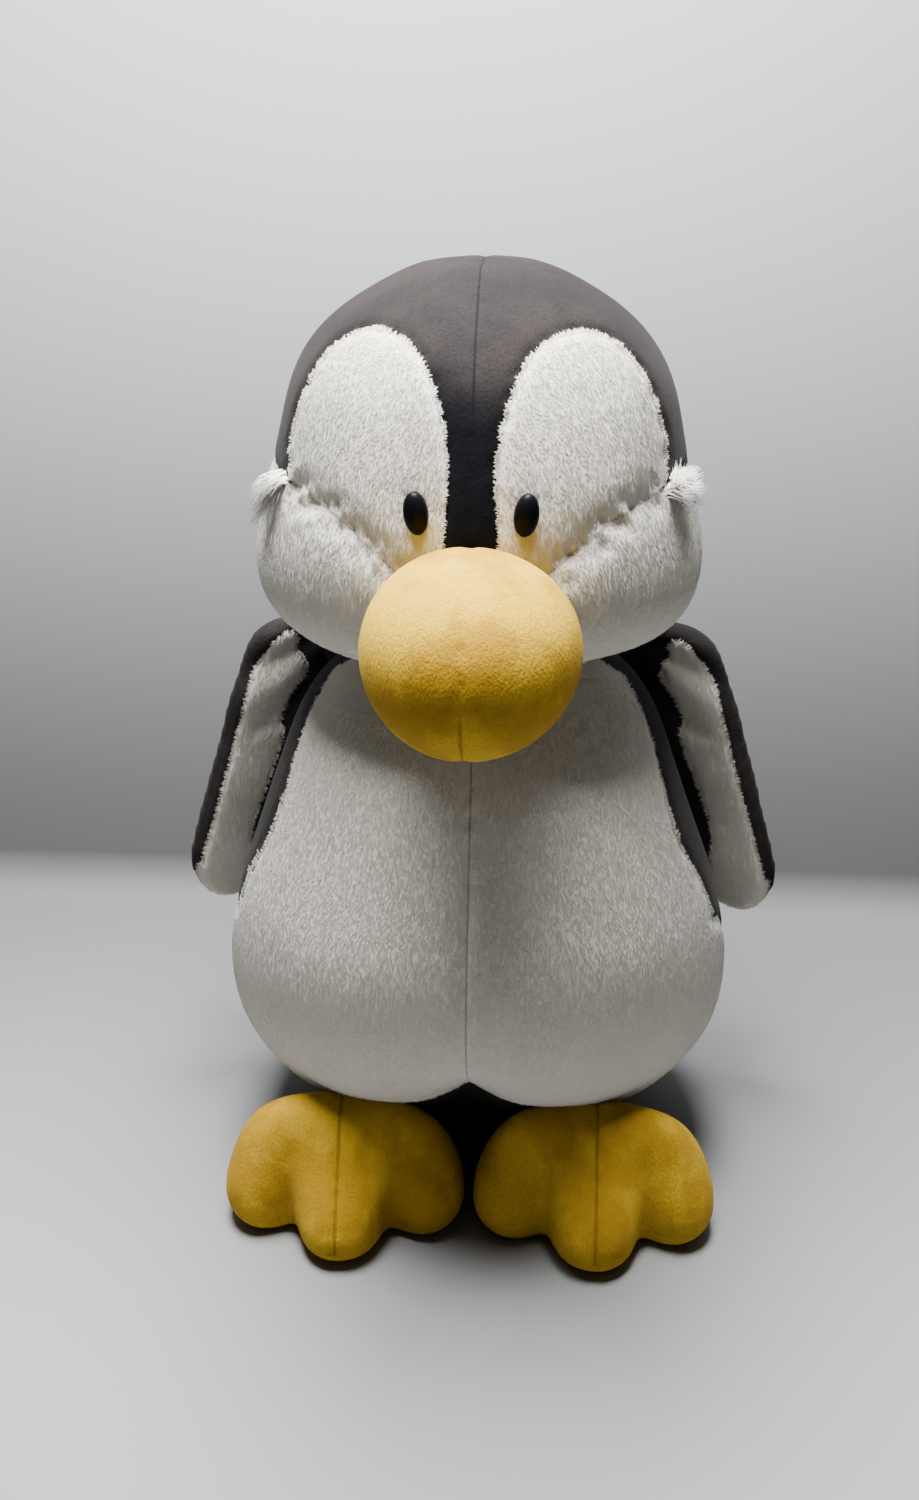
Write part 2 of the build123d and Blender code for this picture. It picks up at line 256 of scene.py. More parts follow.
def inflate(piece, panels, swell, seams, held=3.0 * MM):
    """Blow a part up as cloth, by no more than the swell, while its deep seams stay where they are."""
    start = coords(piece)
    away, depth, _ = nearest_seam(panel_distances(start, panels), panels, seams)
    away[depth <= FLAT_SEAM[0]] = 1.0
    pins = piece.vertex_groups.new(name="seams")
    pins.add([int(i) for i in np.nonzero(away < held)[0]], 1.0, "REPLACE")
    cloth = piece.modifiers.new("Inflate", "CLOTH")
    cloth.settings.quality = 5
    cloth.settings.mass = 0.3
    cloth.settings.tension_stiffness = 12
    cloth.settings.compression_stiffness = 12
    cloth.settings.bending_stiffness = 0.6
    cloth.settings.use_pressure = True
    cloth.settings.uniform_pressure_force = CLOTH_PRESSURE
    cloth.settings.vertex_group_mass = "seams"
    cloth.settings.effector_weights.gravity = 0
    cloth.collision_settings.use_collision = False
    cloth.point_cache.frame_start = 1
    cloth.point_cache.frame_end = CLOTH_FRAMES
    for number in range(1, CLOTH_FRAMES + 1):
        bpy.context.scene.frame_set(number)
    applied(piece)
    move = coords(piece) - start
    length = np.maximum(np.linalg.norm(move, axis=1, keepdims=True), 1e-9)
    set_coords(piece, start + move / length * swell * np.tanh(length / swell))
    bpy.context.scene.frame_set(1)
    finer = piece.modifiers.new("Finer", "SUBSURF")
    finer.levels = finer.render_levels = 1
    applied(piece)


def fill_with(piece, node, body, gap=3.6 * MM):
    """The stuffing inside a padded part, which stands for the CAD stuffing."""
    verts, tris = arrays_of(piece.data)
    filling = new_object(f"{node}_fibre", verts - normals(piece) * gap, tris, MATERIALS[SLOTS[node]])
    thin = filling.modifiers.new("Thin", "DECIMATE")
    thin.ratio = 0.12
    applied(filling)
    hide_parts(node)
    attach(filling, body)


def cut_panels(piece, panels, body, seams, shift=None):
    """Cut a closed part along its CAD seams into one open piece of cloth for each panel."""
    verts, tris = arrays_of(piece.data)
    distances = panel_distances(verts, panels)
    if shift is not None:
        distances += shift(verts)
    label = np.argmin(distances, axis=1)
    squares = distances ** 2
    away, depth, width = nearest_seam(distances, panels, seams)
    pucker = 1 + 0.4 * lumps(verts, 8 * MM, 5)
    groove = depth * pucker * np.exp(-(away / width) ** 2)
    verts = list(verts - normals(piece) * groove[:, None])
    closeness = list(np.exp(-(away / (2.2 * MM)) ** 2))
    cuts = {}

    def cut(i, j):
        key = (min(i, j), max(i, j))
        if key not in cuts:
            i, j = key
            a, b = label[i], label[j]
            here = math.sqrt(max(squares[i, b] - squares[i, a], 0))
            there = math.sqrt(max(squares[j, a] - squares[j, b], 0))
            t = min(max(here / max(here + there, 1e-9), 0.08), 0.92)
            cuts[key] = len(verts)
            verts.append(verts[i] * (1 - t) + verts[j] * t)
            closeness.append(1.0)
        return cuts[key]

    faces = [[] for _ in panels]
    for tri in tris.tolist():
        kinds = [label[v] for v in tri]
        if kinds[0] == kinds[1] == kinds[2]:
            faces[kinds[0]].append(tri)
            continue
        if len(set(kinds)) == 3:
            points = [cut(tri[k], tri[(k + 1) % 3]) for k in range(3)]
            middle = len(verts)
            verts.append(sum(verts[p] for p in points) / 3)
            closeness.append(1.0)
            for k in range(3):
                faces[kinds[k]].append([tri[k], points[k], middle])
                faces[kinds[k]].append([tri[k], middle, points[k - 1]])
            continue
        lone = next(k for k in range(3) if kinds.count(kinds[k]) == 1)
        top, right, left = tri[lone], tri[(lone + 1) % 3], tri[(lone + 2) % 3]
        on_right, on_left = cut(top, right), cut(top, left)
        faces[kinds[lone]].append([top, on_right, on_left])
        faces[label[right]].append([on_right, right, left])
        faces[label[right]].append([on_right, left, on_left])

    verts, closeness = np.array(verts), np.array(closeness)
    made = {}
    for panel, wanted in zip(panels, faces):
        used, inverse = np.unique(np.array(wanted), return_inverse=True)
        cloth = new_object(f"{panel}_cloth", verts[used], inverse.reshape(-1, 3), cloth_of(panel))
        # The seam closeness drives the painted seam shade in the cloth's material, and it shortens the pile
        # near seams.
        stored = cloth.data.attributes.new("seam", "FLOAT", "POINT")
        stored.data.foreach_set("value", closeness[used].astype(np.float32))
        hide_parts(panel)
        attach(cloth, body)
        made[panel] = cloth
    bpy.data.objects.remove(piece)
    return made


# ---------------------------------------------------------------- materials

def rgba(colour):
    """A colour as a shader input takes it, or the socket that it comes from."""
    return colour if isinstance(colour, bpy.types.NodeSocket) else (*colour, 1)


class Nodes:
    """A short way to add and link the nodes of one material."""

    def __init__(self, name):
        self.material = bpy.data.materials.new(name)
        self.material.use_nodes = True
        self.tree = self.material.node_tree
        self.shader = next(n for n in self.tree.nodes if n.type == "BSDF_PRINCIPLED")
        self.place = self.add("ShaderNodeTexCoord").outputs["Object"]

    def add(self, kind, **inputs):
        node = self.tree.nodes.new(kind)
        for key, value in inputs.items():
            self.put(node, key.replace("_", " "), value)
        return node

    def put(self, node, key, value):
        if isinstance(value, bpy.types.NodeSocket):
            self.tree.links.new(value, node.inputs[key])
        else:
            node.inputs[key].default_value = value

    def noise(self, scale, stretch=(1, 1, 1), detail=3.0, rough=0.55, turn=(0, 0, 0)):
        """Noise of so many waves a metre, stretched along the nap."""
        mapping = self.add("ShaderNodeMapping", Vector=self.place, Scale=stretch, Rotation=turn)
        node = self.add(
            "ShaderNodeTexNoise", Vector=mapping.outputs[0], Scale=scale, Detail=detail, Roughness=rough
        )
        return node.outputs["Fac"]

    def steps(self, value, low, high):
        """Smoothly from 0 at low to 1 at high."""
        node = self.add("ShaderNodeMapRange", Value=value, From_Min=low, From_Max=high)
        node.interpolation_type = "SMOOTHSTEP"
        return node.outputs["Result"]

    def math(self, kind, a, b=0.0):
        node = self.add("ShaderNodeMath")
        node.operation = kind
        self.put(node, 0, a)
        self.put(node, 1, b)
        return node.outputs[0]

    def mix(self, factor, a, b):
        node = self.add("ShaderNodeMix")
        node.data_type = "RGBA"
        self.put(node, 0, factor)
        self.put(node, 6, rgba(a))
        self.put(node, 7, rgba(b))
        return node.outputs[2]

    def with_seam_shade(self, colour, seam_shade_colour):
        """The colour with a thin line of painted shade where panels meet, standing in for the shadow in the
        seam groove.
        """
        closeness = self.add("ShaderNodeAttribute")
        closeness.attribute_name = "seam"
        line = self.steps(closeness.outputs["Fac"], 0.78, 0.99)
        return self.mix(self.math("MULTIPLY", line, 0.7), colour, seam_shade_colour)

    def bump(self, height, strength, distance):
        node = self.add("ShaderNodeBump", Height=height, Strength=strength, Distance=distance)
        self.tree.links.new(node.outputs[0], self.shader.inputs["Normal"])

    def cover(self, factor, shader):
        """Lay another shader over the surface by a factor."""
        mixed = self.add("ShaderNodeMixShader")
        output = next(node for node in self.tree.nodes if node.type == "OUTPUT_MATERIAL")
        self.tree.links.new(factor, mixed.inputs[0])
        self.tree.links.new(self.shader.outputs[0], mixed.inputs[1])
        self.tree.links.new(shader.outputs[0], mixed.inputs[2])
        self.tree.links.new(mixed.outputs[0], output.inputs["Surface"])

    def finish(self, colour, roughness, sheen=0.0, tint=(1, 1, 1), specular=0.2):
        self.put(self.shader, "Base Color", rgba(colour))
        self.put(self.shader, "Roughness", roughness)
        self.put(self.shader, "Specular IOR Level", specular)
        self.put(self.shader, "Sheen Weight", sheen)
        self.put(self.shader, "Sheen Roughness", 0.45)
        self.put(self.shader, "Sheen Tint", rgba(tint))
        return self.material


def darker(colour, factor):
    return tuple(c * factor for c in colour)


def plain(name, colour, roughness, sheen=0.0, specular=0.3):
    """One even finish."""
    return Nodes(name).finish(colour, roughness, sheen, specular=specular)


def tints(name, colour, factors, roughness, sheen):
    """One finish in a few tones, to share out between strands."""
    return [
        plain(f"{name}_{number}", darker(colour, factor), roughness, sheen)
        for number, factor in enumerate(factors)
    ]


def velour(name, light, dark, patch, sheen, tint):
    """Short brushed pile: patches of nap that lean two ways, over fine fibres."""
    n = Nodes(name)
    nap = n.noise(patch, (1, 1, 0.7), 3.0, 0.6)
    flecks = n.noise(900, (1, 1, 0.45), 2.0, 0.7)
    colour = n.mix(n.steps(nap, 0.43, 0.58), dark, light)
    colour = n.mix(n.math("MULTIPLY", n.steps(flecks, 0.42, 0.62), 0.28), colour, darker(dark, 0.55))
    n.bump(n.math("ADD", n.math("MULTIPLY", flecks, 0.8), n.math("MULTIPLY", nap, 0.6)), 0.55, 1.2 * MM)
    # Painted shade darkens the velour along its seams.
    return n.finish(n.with_seam_shade(colour, darker(dark, 0.5)), 0.92, sheen, tint, 0.08)


def white_plush(name):
    """Cream-white cloth under the pile, streaked along the nap."""
    n = Nodes(name)
    streaks = n.noise(300, (1.0, 1.0, 0.30), 4.0, 0.65, (0.15, 0.1, 0.35))
    clumps = n.noise(60, (1.0, 1.0, 0.45), 3.0, 0.55)
    tone = n.math("ADD", n.math("MULTIPLY", streaks, 0.6), n.math("MULTIPLY", clumps, 0.4))
    colour = n.mix(n.steps(tone, 0.36, 0.60), darker(WHITE, 0.94), WHITE)
    n.bump(tone, 0.4, 1.2 * MM)
    # Painted shade darkens the white cloth along its seams.
    return n.finish(n.with_seam_shade(colour, darker(WHITE, 0.3)), 0.95, 0.12, WHITE_SHEEN)


def crown_velour(name, stripe_low, stripe_high, stripe_half):
    """Grey velour whose nap turns almost black down the stripe between the eyes."""
    n = Nodes(name)
    nap = n.noise(22, (1, 1, 0.7), 3.0, 0.6)
    flecks = n.noise(900, (1, 1, 0.45), 2.0, 0.7)
    colour = n.mix(n.steps(nap, 0.38, 0.64), GREY_DARK, GREY)
    axis = n.add("ShaderNodeSeparateXYZ", Vector=n.place)
    height = n.math("ADD", axis.outputs["Z"], n.math("MULTIPLY", n.math("SUBTRACT", nap, 0.5), 0.03))
    low_enough = n.math("SUBTRACT", 1.0, n.steps(height, stripe_low, stripe_high))
    sideways = n.math("ABSOLUTE", axis.outputs["X"])
    middle = n.math("SUBTRACT", 1.0, n.steps(sideways, stripe_half, stripe_half * 1.8))
    front = n.math("SUBTRACT", 1.0, n.steps(axis.outputs["Y"], -0.05, -0.02))
    stripe = n.math("MULTIPLY", n.math("MULTIPLY", low_enough, middle), front)
    colour = n.mix(stripe, colour, STRIPE)
    colour = n.mix(n.math("MULTIPLY", n.steps(flecks, 0.42, 0.62), 0.3), colour, STRIPE)
    n.bump(n.math("ADD", n.math("MULTIPLY", flecks, 0.8), n.math("MULTIPLY", nap, 0.5)), 0.5, 1.1 * MM)
    # Painted shade darkens the crown velour along its seams.
    return n.finish(n.with_seam_shade(colour, STRIPE), 0.92, 0.03, GREY_SHEEN, 0.06)


WHITE = (0.61, 0.58, 0.51)
WHITE_SHEEN = (1, 0.98, 0.94)
TUFT_WHITE = (0.86, 0.84, 0.80)
GREY = (0.0195, 0.0162, 0.0158)
GREY_DARK = (0.0135, 0.0112, 0.0112)
GREY_SHEEN = (0.9, 0.87, 0.87)
STRIPE = (0.0018, 0.0021, 0.0034)
YELLOW = (0.49, 0.300, 0.018)
YELLOW_DARK = (0.35, 0.198, 0.010)
YELLOW_SHEEN = (1, 0.7, 0.2)

head_low, head_high = place("head_stuffing")
MATERIALS = {
    "white_plush": white_plush("white_plush"),
    "grey_plush": velour("grey_plush", GREY, GREY_DARK, 22, 0.03, GREY_SHEEN),
    "crown": crown_velour(
        "crown_velour",
        head_low[2] + 0.66 * (head_high[2] - head_low[2]),
        head_low[2] + 0.86 * (head_high[2] - head_low[2]),
        0.17 * head_high[0],
    ),
    "yellow_plush": velour("yellow_plush", YELLOW, YELLOW_DARK, 24, 0.07, YELLOW_SHEEN),
    "white_long_pile": plain("white_long_pile", (0.82, 0.81, 0.78), 0.85, 0.3),
    "eye_plastic": plain("eye_plastic", (0.003, 0.003, 0.004), 0.34, specular=0.05),
    "washer_plastic": plain("washer_plastic", (0.8, 0.8, 0.78), 0.45),
    "polyester_stuffing": plain("polyester_stuffing", (0.85, 0.85, 0.83), 0.95),
    "bag_cloth": velour("bag_cloth", (0.72, 0.71, 0.66), (0.6, 0.59, 0.55), 60, 0.1, (1, 1, 1)),
    "pellets": plain("pellets", (0.8, 0.8, 0.78), 0.5),
    "label_cloth": velour("label_cloth", (0.86, 0.86, 0.84), (0.78, 0.78, 0.76), 200, 0.2, (1, 1, 1)),
}
PILE_TINTS = tints("white_pile", WHITE, (1.02, 1.0, 0.97), 0.9, 0.1)
TUFT_TINTS = tints("tuft_pile", TUFT_WHITE, (1.0, 0.94, 0.85), 0.85, 0.2)


def cloth_of(panel):
    """The material a panel's cloth is made of."""
    return MATERIALS["crown" if "crown_panel" in panel else SLOTS[panel]]


# ---------------------------------------------------------------- pile

def strands(name, verts, per_strand, pattern, facing, materials, kinds):
    """A mesh of many small strips, each lit as if it lay in the surface it grows from."""
    count = len(verts) // per_strand
    first = np.arange(count)[:, None, None] * per_strand
    tris = (first + np.array(pattern)[None]).reshape(-1, 3)
    corners = verts[tris]
    plane = np.cross(corners[:, 1] - corners[:, 0], corners[:, 2] - corners[:, 0])
    away = np.einsum("ij,ij->i", plane, facing[tris[:, 0]]) < 0
    tris[away] = tris[away][:, ::-1]
    mesh = bpy.data.meshes.new(name)
    mesh.vertices.add(len(verts))
    mesh.vertices.foreach_set("co", verts.astype(np.float32).ravel())
    mesh.loops.add(tris.size)
    mesh.loops.foreach_set("vertex_index", tris.astype(np.int32).ravel())
    mesh.polygons.add(len(tris))
    mesh.polygons.foreach_set("loop_start", np.arange(0, tris.size, 3, dtype=np.int32))
    for material in materials:
        mesh.materials.append(material)
    mesh.polygons.foreach_set("material_index", np.repeat(kinds, len(pattern)).astype(np.int32))
    mesh.update(calc_edges=True)
    mesh.shade_smooth()
    mesh.normals_split_custom_set_from_vertices(facing.tolist())
    return linked(name, mesh)


def blades(name, roots, outward, along, length, rng, lean=0.26, width=0.42 * MM):
    """Curved tapering pile, each blade leaning from its root along the nap."""
    count = len(roots)
    twist = rng.uniform(-0.9, 0.9, count)[:, None]
    side = unit(np.cross(outward, along)) * np.cos(twist) + outward * np.sin(twist) * 0.6
    length = (length * rng.uniform(0.65, 1.25, count))[:, None]
    half = side * (width * rng.uniform(0.7, 1.3, count))[:, None] / 2
    lean = (lean + rng.normal(0, 0.06, count))[:, None]
    rise, run = np.sin(lean) * length, np.cos(lean) * length
    sway = side * length * rng.normal(0, 0.07, count)[:, None]
    root = roots - outward * 0.4 * MM
    middle = roots + outward * rise * 0.68 + along * run * 0.45 + sway * 0.4
    tip = roots + outward * rise * 0.9 + along * run + sway
    verts = np.stack([root - half, root + half, middle - half * 0.9, middle + half * 0.9, tip], axis=1)
    facing = unit(outward + along * 0.1 + side * rng.normal(0, 0.04, count)[:, None])
    kinds = rng.choice(3, count, p=(0.35, 0.4, 0.25))
    return strands(
        name, verts.reshape(-1, 3), 5, [[0, 1, 3], [0, 3, 2], [2, 3, 4]],
        np.repeat(facing, 5, axis=0), PILE_TINTS, kinds,
    )


def scatter(piece, spacing, rng):
    """Random points on a cloth piece with their normals and their closeness to a seam."""
    verts, tris = arrays_of(piece.data)
    closeness = np.empty(len(verts), dtype=np.float32)
    piece.data.attributes["seam"].data.foreach_get("value", closeness)
    corners = verts[tris]
    areas = np.linalg.norm(np.cross(corners[:, 1] - corners[:, 0], corners[:, 2] - corners[:, 0]), axis=1) / 2
    count = int(areas.sum() / spacing ** 2)
    chosen = rng.choice(len(tris), count, p=areas / areas.sum())
    a, b = rng.random(count), rng.random(count)
    flip = a + b > 1
    a[flip], b[flip] = 1 - a[flip], 1 - b[flip]
    weights = np.stack([1 - a - b, a, b], axis=1)
    points = (corners[chosen] * weights[:, :, None]).sum(axis=1)
    outward = unit((normals(piece)[tris[chosen]] * weights[:, :, None]).sum(axis=1))
    return points, outward, (closeness[tris[chosen]] * weights).sum(axis=1)


def nap_along(points, outward, flow, seed):
    """The direction the pile is brushed in, along the surface."""
    swirl = lumps(points, 60 * MM, seed)[:, None] * 0.30 + lumps(points, 16 * MM, seed + 1)[:, None] * 0.10
    along = unit(flow - outward * np.sum(flow * outward, axis=1, keepdims=True))
    return unit(along * np.cos(swirl) + np.cross(outward, along) * np.sin(swirl))


def pile(piece, panel, body, seed, spread, length=PILE_LENGTH, keep=None):
    """Short soft pile on one white panel, brushed downwards and a little outwards."""
    rng = np.random.default_rng(seed)
    points, outward, closeness = scatter(piece, PILE_SPACING, rng)
    if keep is not None:
        free = keep(points)
        points, outward, closeness = points[free], outward[free], closeness[free]
    flow = np.full((len(points), 3), (0.0, -0.15, -1.0))
    flow[:, 0] = np.sign(points[:, 0]) * spread
    along = nap_along(points, outward, flow, seed)
    made = blades(f"{panel}_pile", points, outward, along, length * (1 - 0.45 * closeness), rng)
    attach(made, body)


def fringe(piece, panel, body, seed, length=2.2 * MM, beside=None):
    """Pile that stands out over a white panel's edge, on the dark cloth beside it."""
    rng = np.random.default_rng(seed)
    verts, tris = arrays_of(piece.data)
    outward = normals(piece)
    edges = np.concatenate([tris[:, [0, 1]], tris[:, [1, 2]], tris[:, [2, 0]]])
    _, first, counts = np.unique(np.sort(edges, axis=1), axis=0, return_index=True, return_counts=True)
    rim = edges[first[counts == 1]]
    rim = rim[np.abs(verts[rim[:, 0], 0]) > 4 * MM]
    if beside is not None:
        tree = search_tree(beside.data)
        rim = rim[[tree.find_nearest(v)[3] > 1.5 * MM for v in verts[rim[:, 0]].tolist()]]
    run = verts[rim[:, 1]] - verts[rim[:, 0]]
    copies = np.linalg.norm(run, axis=1) / (0.40 * MM) + rng.uniform(0, 1, len(rim))
    index = np.repeat(np.arange(len(rim)), np.maximum(1, copies.astype(int)))
    t = rng.random(len(index))[:, None]
    normal = unit(outward[rim[index, 0]] * (1 - t) + outward[rim[index, 1]] * t)
    away = unit(np.cross(run[index], normal))
    along = unit(away + unit(run[index]) * rng.normal(0, 0.5, len(index))[:, None])
    points = verts[rim[index, 0]] + run[index] * t - away * 0.8 * MM
    made = blades(f"{panel}_fringe", points, normal, along, length, rng, 0.42, 0.40 * MM)
    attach(made, body)


# ---------------------------------------------------------------- stuffed parts

def settle(piece):
    """Nothing goes under the floor."""
    verts = coords(piece)
    verts[:, 2] = np.maximum(verts[:, 2], 0.1 * MM)
    set_coords(piece, verts)


def build_torso():
    """Pear-shaped body with two thigh lobes and a dimple where the belly seam ends."""
    panels = [f"{side}_{kind}" for kind in ("belly_panel", "back_panel") for side, _ in SIDES]
    panels.append("seat_panel")
    piece = hull_piece("torso_shape", ["torso_stuffing", "neck_stuffing"], 4.5 * MM)
    low, high = place("torso_stuffing")
    x, y, z = coords(piece).T
    front = ramp(-y, 5 * MM, 55 * MM)
    lobe_height = low[2] + 0.27 * (high[2] - low[2])
    lobes = near(np.abs(x), 0.50 * high[0], 44 * MM) * near(z, lobe_height - 8 * MM, 34 * MM) * front
    dimple = near(x, 0, 15 * MM) * near(z, lobe_height - 4 * MM, 34 * MM) * front
    push(piece, 0.5 * MM + 8.0 * MM * lobes - 9.0 * MM * dimple + 1.0 * MM * lumps(coords(piece), 90 * MM, 3))
    inflate(piece, panels, 3.0 * MM, {})
    settle(piece)
    fill_with(piece, "torso_stuffing", "torso")

    def rounded_bib(points):
        _, y, z = points.T
        behind = ramp(y, -45 * MM, 5 * MM) * ramp(z, high[2] - 70 * MM, high[2] - 35 * MM)
        corner = ramp(y, -32 * MM, 14 * MM) * (1 - ramp(z, low[2] + 28 * MM, low[2] + 74 * MM))
        shift = np.zeros((len(points), len(panels)))
        shift[:, :2] = (24 * MM * behind + 16 * MM * corner)[:, None]
        return shift

    made = cut_panels(piece, panels, "torso", {}, rounded_bib)
    for number, panel in enumerate(panels[:2]):
        pile(made[panel], panel, "torso", 11 + number, 0.35)
        fringe(made[panel], panel, "torso", 21 + number)


def build_head():
    """Rounded head with puffed cheeks under a deep fold."""
    kinds = ("face_patch", "cheek_panel", "crown_panel", "back_head_panel")
    panels = [f"{side}_{kind}" for kind in kinds for side, _ in SIDES]
    piece = hull_piece("head_shape", ["head_stuffing"], 4.0 * MM)
    verts = coords(piece)
    sockets = sum(
        near(np.linalg.norm(verts - middle_of(f"{side}_eye"), axis=1), 0, 9 * MM) for side, _ in SIDES
    )
    push(piece, 0.8 * MM - 1.6 * MM * sockets + 0.7 * MM * lumps(verts, 80 * MM, 8))
    inflate(piece, panels, 2.2 * MM, HEAD_SEAMS)
    fill_with(piece, "head_stuffing", "head", 6.0 * MM)
    _, cheek_corner = place("left_cheek_panel")

    def rounded_cheek(points):
        _, y, z = points.T
        corner = near(y, cheek_corner[1], 15 * MM) * near(z, cheek_corner[2], 15 * MM)
        shift = np.zeros((len(points), len(panels)))
        shift[:, 2:4] = (11 * MM * corner)[:, None]
        return shift

    made = cut_panels(piece, panels, "head", HEAD_SEAMS, rounded_cheek)
    for number, panel in enumerate(panels[:4]):
        side, kind = panel.split("_", 1)
        other = "face_patch" if kind == "cheek_panel" else "cheek_panel"
        pile(made[panel], panel, "head", 31 + number, 0.8, keep=clear_of_face)
        fringe(made[panel], panel, "head", 41 + number, beside=made[f"{side}_{other}"])


def clear_of_face(points):
    """False where the beak and the eyes cover the pile."""
    free = np.ones(len(points), dtype=bool)
    for side, _ in SIDES:
        low, high = place(f"{side}_eye")
        away = (points - (low + high) / 2) / ((high - low) / 2 - 0.3 * MM)
        free &= away[:, 0] ** 2 + away[:, 2] ** 2 > 1
    low, high = place("beak_stuffing")
    free &= ((2 * points - low - high) ** 2 / (high - low) ** 2).sum(axis=1) > 1
    return free


def build_beak():
    """Big soft bulb, fuller above than below and a little fuller on the toy's left side."""
    panels = ["left_beak_half", "right_beak_half"]
    piece = copy_piece("beak_shape", "beak_stuffing", 3.2 * MM)
    middle = middle_of("beak_stuffing")
    _, high = place("beak_stuffing")
    verts = coords(piece) - middle
    up = verts[:, 2] / (high[2] - middle[2])
    verts[:, 0] *= (1 + 0.035 * up) * np.where(verts[:, 0] > 0, 1.05, 0.97)
    verts[:, 2] *= 1.03
    set_coords(piece, verts + middle)
    push(piece, 1.2 * MM)
    seams = {("beak_half", "beak_half"): BEAK_SEAM}
    inflate(piece, panels, 1.5 * MM, seams, 2.2 * MM)
    fill_with(piece, "beak_stuffing", "head")
    for half in cut_panels(piece, panels, "head", seams).values():
        # The painted seam shade fades on the upper part of the beak.
        closeness = np.empty(len(half.data.vertices), dtype=np.float32)
        stored = half.data.attributes["seam"].data
        stored.foreach_get("value", closeness)
        hidden = ramp(coords(half)[:, 2], middle[2] - 14 * MM, middle[2] + 8 * MM)
        stored.foreach_set("value", (closeness * (1 - 0.35 * hidden)).astype(np.float32))


def build_wing(side, sign):
    """Flat padded wing: the dark outer cloth wraps round the rim of the white inner face."""
    panels = [f"{side}_wing_inner_panel", f"{side}_wing_outer_panel"]
    piece = hull_piece(f"{side}_wing_shape", [f"{side}_wing_stuffing"], 3.2 * MM)
    root = middle_of(f"{side}_shoulder_gusset")
    low, high = place(f"{side}_wing_stuffing")
    verts = coords(piece)
    centre = verts.mean(axis=0)
    across = np.linalg.svd(verts - centre, full_matrices=False)[2][1]
    across *= sign * np.sign(across[0])
    outside = ramp((verts - centre) @ across, -5 * MM, 22 * MM)
    shoulder = near(verts[:, 2], high[2] - 32 * MM, 34 * MM)
    tip = near(verts[:, 2], low[2] + 18 * MM, 40 * MM)
    verts += across * (outside * (1.0 * MM * shoulder + 2.5 * MM * tip))[:, None]
    verts[:, 2] -= 5 * MM * ramp(verts[:, 2], high[2] - 45 * MM, high[2])
    set_coords(piece, verts)
    reach = np.linalg.norm(verts - root, axis=1)
    bearing = np.arctan2(verts[:, 2] - root[2] - 20 * MM, np.abs(verts[:, 0]) - abs(root[0]) + 25 * MM)
    creases = np.sin(bearing * 17) * np.exp(-((reach - 45 * MM) / (32 * MM)) ** 2)
    push(piece, 1.2 * MM + 1.5 * MM * creases + 0.7 * MM * lumps(verts, 55 * MM, 9))
    inflate(piece, panels, 2.2 * MM, {}, 2.2 * MM)
    fill_with(piece, f"{side}_wing_stuffing", f"{side}_wing")

    def rim(points):
        above_tip = ramp(points[:, 2], low[2] + 8 * MM, low[2] + 60 * MM)
        outer = ramp((points - centre) @ across, -8 * MM, 8 * MM)
        cap = ramp(points[:, 2], high[2] - 40 * MM, high[2] - 8 * MM)
        wrap = (14.0 - 10.6 * outer + 4.0 * cap) * MM * above_tip
        return np.stack([wrap, 1.5 * MM * (1 - above_tip)], axis=1)

    made = cut_panels(piece, panels, f"{side}_wing", {}, rim)
    pile(made[panels[0]], panels[0], f"{side}_wing", 51, 0.2, 3.0 * MM)
    fringe(made[panels[0]], panels[0], f"{side}_wing", 53, 2.8 * MM)


def build_gusset(side, sign):
    """The gathered cloth that joins a wing to the body."""
    node = f"{side}_shoulder_gusset"
    piece = copy_piece(f"{node}_gathers", node, 1.4 * MM)
    verts = coords(piece) - middle_of(node)
    around = np.arctan2(verts[:, 2], verts[:, 1] + 0.3 * sign * verts[:, 0])
    gathers = np.sin(around * 9 + 1.5 * np.sin(around * 3)) + 0.5 * lumps(verts, 14 * MM, 71)
    push(piece, 0.7 * MM * gathers - 0.4 * MM)
    verts = coords(piece) - middle_of(node)
    verts *= (1.10, 0.72, 1.20)
    verts[:, 2] -= 4 * MM
    set_coords(piece, verts + middle_of(node))
    piece.data.materials.clear()
    piece.data.materials.append(MATERIALS[SLOTS[node]])
    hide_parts(node)
    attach(piece, f"{side}_shoulder")


def build_foot(side):
    """Three stuffed toes; the foot goes up under the belly."""
    panels = [f"{side}_foot_{kind}" for kind in ("upper_outside", "upper_inside", "sole")]
    seams = {
        ("foot_upper_outside", "foot_upper_inside"): FOOT_SEAM,
        ("foot_upper_outside", "foot_sole"): FOOT_SEAM,
        ("foot_upper_inside", "foot_sole"): FOOT_SEAM,
    }
    piece = copy_piece(f"{side}_foot_shape", f"{side}_foot_stuffing", 3.2 * MM)
    low, high = place(f"{side}_foot_stuffing")
    verts = coords(piece)
    heel = ramp(verts[:, 1], low[1] + 26 * MM, low[1] + 56 * MM)
    verts[:, 2] += 8 * MM * heel * ramp(verts[:, 2], low[2] + 15 * MM, high[2] - 12 * MM)
    set_coords(piece, verts)
    push(piece, 1.5 * MM)
    inflate(piece, panels, 2.4 * MM, seams, 2.4 * MM)
    settle(piece)
    fill_with(piece, f"{side}_foot_stuffing", f"{side}_foot")

    def under_the_toes(points):
        front = 1 - ramp(points[:, 1], low[1] + 26 * MM, low[1] + 50 * MM)
        return np.stack([np.zeros(len(points)), np.zeros(len(points)), 9 * MM * front], axis=1)

    cut_panels(piece, panels, f"{side}_foot", seams, under_the_toes)


# ---------------------------------------------------------------- eyes and tufts

